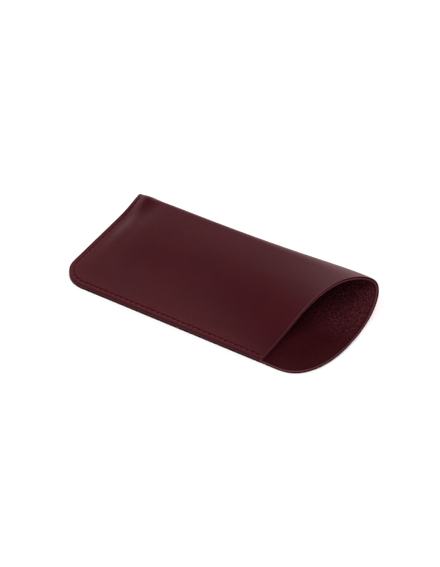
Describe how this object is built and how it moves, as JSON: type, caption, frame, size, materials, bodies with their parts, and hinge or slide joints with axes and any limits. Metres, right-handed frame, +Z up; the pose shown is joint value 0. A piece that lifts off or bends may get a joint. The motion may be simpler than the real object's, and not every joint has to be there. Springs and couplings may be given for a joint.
{
  "type": "eyeglasses case",
  "caption": "Slip-in sleeve for folded eyeglasses: one leather panel, folded along a side and sewn along the closed end and other side, open at a tongued mouth.",
  "frame": {"origin": "centre of the bounding box, at the table that the back panel lies on", "axes": "+X along the sleeve from the closed end to the mouth, +Y from the stitched side to the fold, +Z up from the back panel to the front panel"},
  "size_m": [0.1718, 0.0876, 0.0274],
  "materials": {
    "leather": "smooth fine-grained burgundy leather, semi-matt with a soft sheen",
    "interlining": "dark bonded leather board, matt",
    "lining": "thin pebbled lining leather, satin",
    "needle_thread": "waxed twisted sewing thread, dark red",
    "bobbin_thread": "waxed twisted sewing thread, dark red"
  },
  "bodies": {
    "root": {"outer_leather": "leather", "interlining": "interlining", "lining": "lining", "needle_thread": "needle_thread", "bobbin_thread": "bobbin_thread"}
  },
  "joints": []
}
